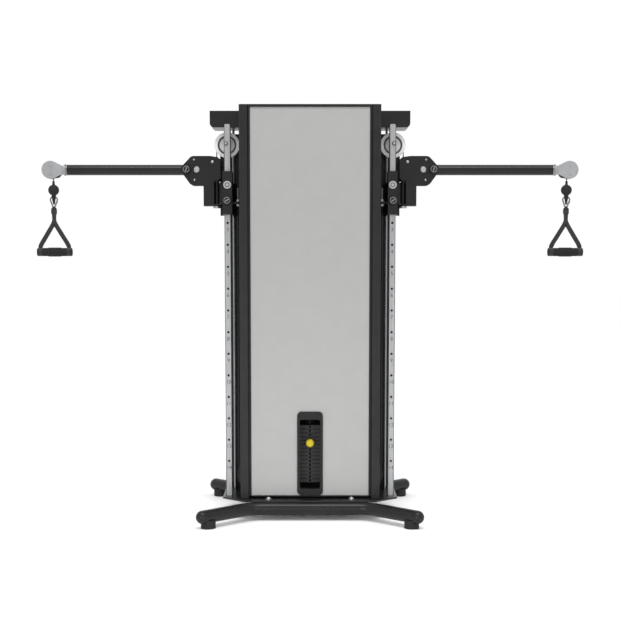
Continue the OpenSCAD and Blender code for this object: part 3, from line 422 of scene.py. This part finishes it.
def revolve(bm, profile, origin, axis, steps=48):
    """Spins a profile of (radius, distance along the axis) points into a closed turned piece."""
    turn = Vector((0, 0, 1)).rotation_difference(Vector(axis)).to_matrix().to_4x4()
    place = Matrix.Translation(origin) @ turn
    verts = [bm.verts.new(place @ Vector((r, 0, h))) for r, h in profile]
    edges = [bm.edges.new(pair) for pair in zip(verts, verts[1:])]
    bmesh.ops.spin(bm, geom=verts + edges, cent=origin, axis=Vector(axis), angle=math.tau,
                   steps=steps, use_merge=True)


def tube(bm, points, radius, sides=12, closed=False):
    """Sweeps a round section along a path of points."""
    path = [Vector(p) for p in points]
    count = len(path)
    up = Vector((0, 1, 0))
    rings = []
    for i, p in enumerate(path):
        before = path[i - 1] if (closed or i > 0) else p
        after = path[(i + 1) % count] if (closed or i < count - 1) else p
        along = (after - before).normalized()
        side = along.cross(up)
        if side.length < 1e-3:
            side = along.cross(Vector((1, 0, 0)))
        side.normalize()
        other = along.cross(side).normalized()
        ring = bmesh.ops.create_circle(bm, cap_ends=False, segments=sides, radius=radius)["verts"]
        turn = Matrix((side, other, along)).transposed().to_4x4()
        bmesh.ops.transform(bm, matrix=Matrix.Translation(p) @ turn, verts=ring)
        rings.append([e for v in ring for e in v.link_edges])
    pairs = list(zip(rings, rings[1:])) + ([(rings[-1], rings[0])] if closed else [])
    for one, two in pairs:
        bmesh.ops.bridge_loops(bm, edges=list(set(one) | set(two)))
    if not closed:
        for ring in (rings[0], rings[-1]):
            bmesh.ops.contextual_create(bm, geom=list(set(ring)))


def arc(cx, cz, r, start, stop, steps, y=0.0):
    """Points on an arc in X and Z, angles in degrees from +X towards +Z."""
    angles = [math.radians(start + (stop - start) * i / steps) for i in range(steps + 1)]
    return [(cx + r * math.cos(a), y, cz + r * math.sin(a)) for a in angles]


# %% [markdown]
# ## The moving stretches of cable
# Between a fixed pulley and a moving one the cable gets longer or shorter as the machine is
# used. A tube on one body would leave a gap at its other end. So each stretch is a straight
# tube from the fixed pulley's height to the moving end's height at rest, and it rides on no
# body.

# %% Stretching cables
CABLE_R = 2.4 * MM
LIFT_GROOVE_R = 45 * MM
STRETCH_STEPS = 12


def stretch(name, x, z_fixed, z_moving, fixed, moving, replaces):
    """An upright cable from a fixed height to a moving one."""
    bm = bmesh.new()
    shares = [i / STRETCH_STEPS for i in range(STRETCH_STEPS + 1)]
    points = [(x, 0, z_fixed + (z_moving - z_fixed) * share) for share in shares]
    tube(bm, points, CABLE_R)
    thing = piece(name, bm, cable_skin, None, replaces=replaces)
    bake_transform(thing)


stack_low, stack_high = (corner[2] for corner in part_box("stack_cables"))
inner_run = centre("left_lift_pulley").x
stack_runs = [k * (abs(inner_run) + d * LIFT_GROOVE_R) for k in (-1, 1) for d in (-1, 1)]
for number, x in enumerate(stack_runs):
    stretch(f"stack_cable_{number + 1}", x, stack_high, stack_low, "frame", "weight_stack",
            ["stack_cables"] if number == 0 else [])
for side, k in SIDES.items():
    for kind, moving, parent in (("riser", "slider", "frame"), ("anchor", "slider", "frame"),
                                 ("handle", "handle", f"{side}_tip")):
        low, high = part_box(f"{side}_{kind}_cable")
        x = (low[0] + high[0]) / 2
        top, foot = (low[2], high[2]) if kind == "anchor" else (high[2], low[2])
        stretch(f"{side}_{kind}_run", x, top, foot, parent, f"{side}_{moving}", [f"{side}_{kind}_cable"])
print("stretching cables:", len(stack_runs) + 3 * len(SIDES))

# %% [markdown]
# ## Cable that keeps its length
# Round the lift pulleys and inside the arms the cable only travels along itself. Each such
# stretch is a rigid tube on the body that it lies in, and the tubes meet where two bodies turn
# on each other: at the arm's pivot and at the tip's swivel.

# %% Cable inside the arms and round the lift pulleys
HEAD_GROOVE_R, TIP_GROOVE_R = 18 * MM, 16 * MM
PIVOT_X, ARM_Z = 520 * MM, 1598 * MM
ARM_ENTRY_X = 600 * MM
LEAD = 20 * MM      # straight cable beside a pulley
TIP_NECK = 70 * MM  # from the tip pulley back to the arm's end
for side, k in SIDES.items():
    lift = centre(f"{side}_lift_pulley")
    bm = bmesh.new()
    tube(bm, arc(lift.x, lift.z, LIFT_GROOVE_R, 180, 360, 24), CABLE_R)
    piece(f"{side}_lift_wrap", bm, cable_skin, "weight_stack")
    head = centre(f"{side}_head_pulley")
    pivot = Vector((k * PIVOT_X, 0, ARM_Z))
    run_z = head.z - HEAD_GROOVE_R
    bm = bmesh.new()
    bend = [(k * x, y, z) for x, y, z in arc(abs(head.x), head.z, HEAD_GROOVE_R, 180, 270, 12)]
    tube(bm, bend + [(k * (abs(head.x) + LEAD), 0, run_z), (pivot.x, 0, run_z)], CABLE_R)
    piece(f"{side}_head_run", bm, cable_skin, f"{side}_head")
    tip = centre(f"{side}_tip_pulley")
    arm_end = abs(tip.x) - TIP_NECK
    bm = bmesh.new()
    tube(bm, [(pivot.x, 0, run_z), (k * ARM_ENTRY_X, 0, run_z), (k * arm_end, 0, pivot.z)], CABLE_R)
    piece(f"{side}_arm_run", bm, cable_skin, f"{side}_arm")
    bm = bmesh.new()
    bend = [(k * x, y, z) for x, y, z in arc(abs(tip.x), tip.z, TIP_GROOVE_R, 90, 0, 12)]
    tube(bm, [(k * arm_end, 0, pivot.z), (k * (abs(tip.x) - LEAD), 0, pivot.z)] + bend, CABLE_R)
    piece(f"{side}_tip_run", bm, cable_skin, f"{side}_tip")
print("cable in each arm from", round(PIVOT_X, 3), "to", round(arm_end, 3))

# %% [markdown]
# ## The strap handles
# At the end of each cable hangs a rubber ball that stops it at the arm, a steel snap hook,
# and a handle: nylon webbing, doubled below the hook, that splits into two legs and goes
# round the ends of a foam grip. Cloth could be simulated, but a strap that carries its grip
# hangs taut, so a flat band swept along a line gives its shape at once.

# %% Helper for flat bands


def band(bm, points, widths, thickness, sides=16):
    """Sweeps a flat band with rounded edges along points in X and Z."""
    start = len(bm.verts)
    tube(bm, points, 1.0, sides)
    bm.verts.ensure_lookup_table()
    for i, (p, width) in enumerate(zip(points, widths)):
        ring = bm.verts[start + i * sides:start + (i + 1) * sides]
        middle = Vector(p)
        for v in ring:
            out = v.co - middle
            flat = Vector((out.x, 0, out.z))
            flat_share = min(1, flat.length * 1.5)
            if flat.length > 1e-6:
                flat = flat.normalized() * flat_share * width / 2
            v.co = middle + flat + Vector((0, max(-1, min(1, out.y * 1.5)) * thickness / 2, 0))


# %% Ball stops and snap hooks
BALL_R = 25 * MM
HOOK_W = 39 * MM
HOOK_FOOT_W = 21 * MM
HOOK_BAR_R = 3.4 * MM
GATE_R = 1.25 * HOOK_BAR_R
GATE_TOP, GATE_FOOT = 26 * MM, 16 * MM  # down from the hook's top, up from its foot
SWIVEL = [(0, 0), (10.5, 0), (10, -10), (5, -38), (3, -46), (0, -46)]  # mm: radius, height
ball_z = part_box("left_handle_cable")[0][2]
hook_top = ball_z - BALL_R - 1 * MM
hook_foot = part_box("left_handle_hook")[0][2]

for side in SIDES:
    x = centre(f"{side}_handle_cable").x
    body = f"{side}_handle"
    bm = bmesh.new()
    rounds = [math.radians(a) for a in range(8, 173, 8)]
    profile = [(0, -BALL_R)] + [(BALL_R * math.sin(a), -BALL_R * math.cos(a)) for a in rounds]
    profile += [(7 * MM, BALL_R), (5.5 * MM, BALL_R + 5 * MM), (5.5 * MM, BALL_R + 15 * MM),
                (4.5 * MM, BALL_R + 16 * MM), (0, BALL_R + 16 * MM)]
    revolve(bm, profile, (x, 0, ball_z), (0, 0, 1))
    piece(f"{side}_ball_stop", bm, rubber, body)

    bm = bmesh.new()
    revolve(bm, [(r * MM, h * MM) for r, h in SWIVEL], (x, 0, ball_z - BALL_R + 4 * MM), (0, 0, 1), 24)
    piece(f"{side}_hook_swivel", bm, rubber, body)

    bm = bmesh.new()
    top_r = HOOK_W / 2 - HOOK_BAR_R
    foot_r = HOOK_FOOT_W / 2 - HOOK_BAR_R
    outline = arc(x, hook_top - HOOK_W / 2, top_r, 0, 180, 20)
    outline += arc(x, hook_foot + HOOK_FOOT_W / 2, foot_r, 180, 360, 16)
    tube(bm, outline, HOOK_BAR_R, 12, closed=True)
    gate = [(x + top_r * 0.97, 0, hook_top - GATE_TOP), (x + foot_r * 1.15, 0, hook_foot + GATE_FOOT)]
    tube(bm, gate, GATE_R, 12)
    piece(f"{side}_snap_hook", bm, nickel, body, replaces=[f"{side}_handle_hook"])
print("hooks from", round(hook_top, 3), "down to", round(hook_foot, 3))

# %% Webbing straps
WEB_T = 3.2 * MM
STRAP_L = 76 * MM
GRIP_NECK_R = 15.5 * MM
LEG_X = 66 * MM
NECK_HALF_W = 9 * MM
STITCH_L, STITCH_R = 2.6 * MM, 0.55 * MM
# The doubled band in mm: height from the hook's foot, width, each layer's distance from the middle
LAYERS = [(7, 8, 4.6), (2, 12, 4.6), (-3, 22, 4.6), (-10, 25, 4.6), (-24, 25, 4.6), (-31, 18.5, 4.6),
          (-50, 18, 1.61), (-STRAP_L / MM, 18.5, 1.61)]
# A leg in mm: sideways and height from the split, width
LEG = [(0, 26, 15), (3, 10, 17), (9, -6, 20), (20, -24, 20), (40, -57, 20), (58, -86, 20),
       (65.5, -101, 20), (67, -113, 18)]
# A turn of the band round a neck of the grip, bulged at its middle
NECK_TURN = [(GRIP_NECK_R, -NECK_HALF_W), (GRIP_NECK_R + WEB_T, -NECK_HALF_W),
             (GRIP_NECK_R + WEB_T + 0.6 * MM, 0), (GRIP_NECK_R + WEB_T, NECK_HALF_W),
             (GRIP_NECK_R, NECK_HALF_W), (GRIP_NECK_R, -NECK_HALF_W)]
grip_z = centre("left_handle_grip").z
split_z = hook_foot - STRAP_L
# Rows of stitches: height, then in mm the step along the row and the distance from the middle
STITCH_ROWS = [(hook_foot - 14 * MM, 3.75, 6.1), (hook_foot - 21 * MM, 3.75, 6.1),
               (split_z + 14 * MM, 2.5, 3.3), (split_z + 20 * MM, 2.5, 3.3)]
thread = moulded("grey polyester thread", "#4c4c4e", "#5a5a5c", 0.8, 1, 0.05)

for side in SIDES:
    x = centre(f"{side}_handle_cable").x
    body = f"{side}_handle"
    bm = bmesh.new()
    for way in (-1, 1):
        line = [(x, way * out * MM, hook_foot + dz * MM) for dz, width, out in LAYERS]
        band(bm, line, [width * MM for dz, width, out in LAYERS], WEB_T)
    for way in (-1, 1):
        line = [(x + way * dx * MM, 0, split_z + dz * MM) for dx, dz, width in LEG]
        band(bm, line, [width * MM for dx, dz, width in LEG], 2 * WEB_T)
        revolve(bm, NECK_TURN, (x + way * LEG_X, 0, grip_z), (1, 0, 0), 40)
    piece(f"{side}_strap", bm, webbing, body, replaces=[f"{side}_handle_strap"])

    bm = bmesh.new()
    for row_z, step, out in STITCH_ROWS:
        for face in (-1, 1):
            for n in range(-2, 3):
                middle = x + n * step * MM
                ends = [(middle + way * STITCH_L / 2, face * out * MM, row_z) for way in (-1, 1)]
                tube(bm, ends, STITCH_R, 8)
    piece(f"{side}_stitches", bm, thread, body)
print("straps split at", round(split_z, 3))

# %% Foam grips
# Half of the grip in mm, from its bored end to its middle: radius, distance from the middle
HALF_GRIP = [(0, 74), (9, 74), (9, 79), (10, 80), (17.5, 80), (18.5, 79), (18.5, 77.5), (15.4, 77),
             (15.4, 57), (17.5, 56.8), (18.6, 55.5), (19, 52), (19, 34), (19.3, 31), (20.6, 29),
             (21, 26), (21, 0)]
profile = [(r * MM, -h * MM) for r, h in HALF_GRIP]
profile += [(r * MM, h * MM) for r, h in reversed(HALF_GRIP[:-1])]
for side in SIDES:
    x = centre(f"{side}_handle_cable").x
    bm = bmesh.new()
    revolve(bm, profile, (x, 0, grip_z), (1, 0, 0), 56)
    piece(f"{side}_grip", bm, foam, f"{side}_handle", replaces=[f"{side}_handle_grip"])
print("handles hang at", round(x, 3), "grip at", round(grip_z, 3))

# %% [markdown]
# ## Screws
# Button-head screws hold the arm head and tip housing together, and larger ones hold the deck.
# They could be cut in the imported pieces, but a small turned shape is simpler to add here: each
# is a spun dome with a socket.

# %% Screws


def screw(bm, at, axis, r, h):
    """A button-head screw with a socket, seated at a point."""
    profile = [(0, h * 0.45), (r * 0.45, h * 0.45), (r * 0.5, h), (r * 0.72, h * 0.92),
               (r * 0.92, h * 0.6), (r, h * 0.2), (r, 0), (0, 0)]
    revolve(bm, profile, at, axis, 24)


FRONT, UP = (0, -1, 0), (0, 0, 1)
head_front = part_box("right_arm_head")[0][1]
deck_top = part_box("base_deck")[1][2]
# Arm head screws in mm: sideways, height, radius, and how far the seat stands out
HEAD_SCREWS = ((533, 1643, 5, 0), (531, 1551, 5, 0), (448, 1633, 7, 4))
TIP_SCREW_X, TIP_SCREW_DZ, TIP_CHEEK_Y = 1196 * MM, 19 * MM, -17 * MM
DECK_BOLT_X, DECK_BOLT_Y = 190 * MM, 172 * MM
WASHER_R, WASHER_T = 14 * MM, 2 * MM
for side, k in SIDES.items():
    bm = bmesh.new()
    for x, z, r, out in HEAD_SCREWS:
        screw(bm, (k * x * MM, head_front - out * MM, z * MM), FRONT, r * MM, 3.5 * MM)
    piece(f"{side}_head_screws", bm, zinc, f"{side}_head")
    bm = bmesh.new()
    for dz in (-TIP_SCREW_DZ, TIP_SCREW_DZ):
        screw(bm, (k * TIP_SCREW_X, TIP_CHEEK_Y, ARM_Z + dz), FRONT, 4.5 * MM, 3 * MM)
    piece(f"{side}_tip_screws", bm, zinc, f"{side}_tip")
bm = bmesh.new()
for k in (-1, 1):
    for y in (-DECK_BOLT_Y, DECK_BOLT_Y):
        at = (k * DECK_BOLT_X, y, deck_top)
        revolve(bm, [(0, WASHER_T), (WASHER_R, WASHER_T), (WASHER_R, 0), (0, 0)], at, UP, 32)
        screw(bm, (at[0], at[1], deck_top + WASHER_T), UP, 10 * MM, 7 * MM)
piece("deck_bolts", bm, zinc, "frame")
print("screws in the arm heads, tips and deck at", round(deck_top, 3))

# %% [markdown]
# ## Rear cover screws, painted shadow gap, rings and knob faces
# A row of screws down each edge holds the rear cover; they are too small to read in the photograph
# and follow common practice. A black rubber tube round the front panel is painted shade: it draws
# the dark shadow gap at the panel's seam. It is one closed tube along a rounded rectangle, so it has no
# ends to hide.
# Rings and collars are spun like the screws, and each pull knob carries a spun ring and a bar.

# %% Rear cover screws and the painted shadow gap round the front panel
cover_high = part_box("rear_cover")[1]
REAR = (0, 1, 0)
COVER_TOP_HALF = 278 * MM
SCREW_IN = 18 * MM
COVER_ROWS = 6
LOW_ROW, HIGH_ROW = 60 * MM, 40 * MM  # up from the deck, down from the cover's top
row_step = (cover_high[2] - HIGH_ROW - deck_top - LOW_ROW) / (COVER_ROWS - 1)
bm = bmesh.new()
for k in (-1, 1):
    for row in range(COVER_ROWS):
        z = deck_top + LOW_ROW + row * row_step
        screw(bm, (k * (COVER_TOP_HALF - SCREW_IN), cover_high[1], z), REAR, 6 * MM, 3 * MM)
piece("cover_screws", bm, black_oxide, "frame")

panel_low, panel_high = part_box("front_panel")
# Painted shade: a black tube in the rubber finish that draws the shadow gap round the front panel
SHADOW_GAP_R = 3.4 * MM
SHADOW_GAP_CORNER_R = 6 * MM
seam_x = panel_high[0] + 1 * MM
shadow_gap_y = panel_low[1] - 2 * MM
bm = bmesh.new()
loop = []
for way_x, way_z, start in ((1, 1, 0), (-1, 1, 90), (-1, -1, 180), (1, -1, 270)):
    edge_z = panel_high[2] if way_z > 0 else panel_low[2]
    loop += arc(way_x * (seam_x - SHADOW_GAP_CORNER_R), edge_z - way_z * SHADOW_GAP_CORNER_R, SHADOW_GAP_CORNER_R,
                start, start + 90, 6, shadow_gap_y)
tube(bm, loop, SHADOW_GAP_R, 12, closed=True)
piece("panel_shadow_gap", bm, rubber, "frame")
print("cover screws every", round(row_step, 3), "and a seal at", round(seam_x, 3))

# %% Adjuster rings, axle caps and arm collars
ADJUSTER_Z = 1524 * MM
ARM_R = 24 * MM
COLLAR_IN = 6 * MM
# Rings in mm, as radius and distance along the axis, the collar's from the arm's own radius
ADJUSTER_RING = [(7.4, 0), (7.4, 0.6), (10.4, 0.6), (10.4, 0), (7.4, 0)]
COLLAR_RING = [(0, 0), (1, 0.4), (1.4, 2), (1, 3.6), (0, 4), (0, 0)]
for side, k in SIDES.items():
    bolt_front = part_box(f"{side}_carriage_bolts")[0][1]
    at = (k * rail_x, bolt_front + 4 * MM, ADJUSTER_Z)
    bm = bmesh.new()
    revolve(bm, [(r * MM, h * MM) for r, h in ADJUSTER_RING], at, FRONT, 40)
    piece(f"{side}_adjuster_ring", bm, knob_plastic, f"{side}_slider")
    axle = centre(f"{side}_top_pulley")
    bm = bmesh.new()
    screw(bm, (axle.x, rail_low[1] - 5 * MM, axle.z), FRONT, 6 * MM, 2.5 * MM)
    piece(f"{side}_axle_cap", bm, zinc, "frame")
    tube_end = max(abs(c[0]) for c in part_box(f"{side}_arm_tube"))
    at = (k * (tube_end - COLLAR_IN), 0, ARM_Z)
    bm = bmesh.new()
    revolve(bm, [(ARM_R + r * MM, h * MM) for r, h in COLLAR_RING], at, (k, 0, 0), 48)
    piece(f"{side}_arm_collar", bm, zinc, f"{side}_arm")
print("arm collars at", round(tube_end - COLLAR_IN, 3))

# %% Knob faces
KNOB_RING = [(12.6, -0.4), (12.6, 0.5), (13.5, 0.9), (14.4, 0.5), (14.4, -0.4), (12.6, -0.4)]  # mm
FINGER_BAR = (20 * MM, 2.4 * MM, 3.4 * MM)
PINS = (("height_pin", "height_lock", 35), ("pitch_pin", "pitch_lock", 70))  # node, body, bar's turn
knob_mark = moulded("grey ABS knob bar", "#858587", "#929294", 0.4, 3, 0.05)
for side in SIDES:
    for pin, body, turn in PINS:
        knob = centre(f"{side}_{pin}")
        at = Vector((knob.x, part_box(f"{side}_{pin}")[0][1], knob.z))
        bm = bmesh.new()
        revolve(bm, [(r * MM, h * MM) for r, h in KNOB_RING], at, FRONT, 40)
        bar = bmesh.ops.create_cube(bm, size=1)["verts"]
        bmesh.ops.scale(bm, vec=FINGER_BAR, verts=bar)
        spin = Matrix.Rotation(math.radians(-turn), 4, "Y")
        bmesh.ops.transform(bm, matrix=Matrix.Translation(at) @ spin, verts=bar)
        piece(f"{side}_{pin}_face", bm, knob_mark, f"{side}_{body}")
print("knob faces:", len(PINS) * len(SIDES))

# %% [markdown]
# ## Numbers on the rails
# Every adjusting hole has its number printed below it, so both arms can be set alike. An image
# would need a picture file, so a text curve is turned into a mesh, which also stays sharp from
# near. Print is thin: the digits stand a fifth of a millimetre on the rail.

# %% Rail numbers
number_ink = moulded("grey printing ink", "#3c3d3f", "#4a4b4d", 0.6, 2, 0.02)
HOLE_LOW = 253 * MM
HOLE_STEP = 100 * MM
HOLE_COUNT = 14
NUMBER_H = 17 * MM
DIGIT_SHARE = 0.7  # a digit's height as a share of the font size
NUMBER_DROP = 31 * MM
PRINT_T = 0.1 * MM
rail_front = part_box("front_rails")[0][1]
for side, k in SIDES.items():
    bm = bmesh.new()
    for i in range(HOLE_COUNT):
        label = bpy.data.curves.new("number", "FONT")
        label.body = str(HOLE_COUNT - i)
        label.size = NUMBER_H / DIGIT_SHARE
        label.align_x = "CENTER"
        label.align_y = "CENTER"
        label.extrude = PRINT_T
        label.resolution_u = 3
        holder = bpy.data.objects.new("number", label)
        flat = bpy.data.meshes.new_from_object(holder)
        z = HOLE_LOW + i * HOLE_STEP - NUMBER_DROP
        place = Matrix.Translation((k * rail_x, rail_front - PRINT_T, z))
        flat.transform(place @ Matrix.Rotation(math.radians(90), 4, "X"))
        bm.from_mesh(flat)
        bpy.data.objects.remove(holder)
        bpy.data.curves.remove(label)
        bpy.data.meshes.remove(flat)
    piece(f"{side}_rail_numbers", bm, number_ink, "frame")
print("numbers on each rail:", HOLE_COUNT)

# %% [markdown]
# ## Floor and light
# The picture is a studio shot on white: a wide pale floor, a white surround that gives most of
# the light, a long softbox above the front that draws a highlight along every tube, and two
# weak gridded lamps in front, the left one stronger. Colours go to the picture without a film
# curve, so a paint keeps its chart value in full light.

# %% Floor
FLOOR_HALF = 40
floor_paint, tree, shader, place = new_material("white studio floor")
shader.inputs["Base Color"].default_value = linear("#ffffff")
shader.inputs["Roughness"].default_value = 0.9
bm = bmesh.new()
bmesh.ops.create_grid(bm, x_segments=1, y_segments=1, size=FLOOR_HALF)
mesh = bpy.data.meshes.new("floor")
bm.to_mesh(mesh)
bm.free()
mesh.materials.append(floor_paint)
floor = bpy.data.objects.new("floor", mesh)
bpy.context.scene.collection.objects.link(floor)
print("floor", 2 * FLOOR_HALF, "m square")

# %% Lights
world = bpy.data.worlds.new("white surround")
world.use_nodes = True
world.node_tree.nodes["Background"].inputs["Color"].default_value = (1, 1, 1, 1)
world.node_tree.nodes["Background"].inputs["Strength"].default_value = 1.0
bpy.context.scene.world = world
bpy.context.scene.view_settings.view_transform = "Standard"


def soft_light(name, place, target, wide, high, power, spread=180):
    """A softbox that faces a point, with a grid that narrows its beam to some degrees."""
    lamp = bpy.data.lights.new(name, "AREA")
    lamp.shape = "RECTANGLE"
    lamp.size, lamp.size_y = wide, high
    lamp.energy = power
    lamp.spread = math.radians(spread)
    thing = bpy.data.objects.new(name, lamp)
    thing.location = place
    thing.rotation_euler = (Vector(target) - Vector(place)).to_track_quat("-Z", "Y").to_euler()
    bpy.context.scene.collection.objects.link(thing)


BELOW_DECK, LOWER_TOWER = (0, -0.15, -0.25), (0, 0, 0.6)
soft_light("key", (-1.8, -5.0, 0.9), BELOW_DECK, wide=1.0, high=1.0, power=2.5, spread=36)
soft_light("fill", (1.9, -5.0, 0.9), BELOW_DECK, wide=1.0, high=1.0, power=1.5, spread=36)
soft_light("strip", (0, -2.3, 6.2), LOWER_TOWER, wide=4.2, high=0.7, power=170)
print("lamps:", len(bpy.data.lights))
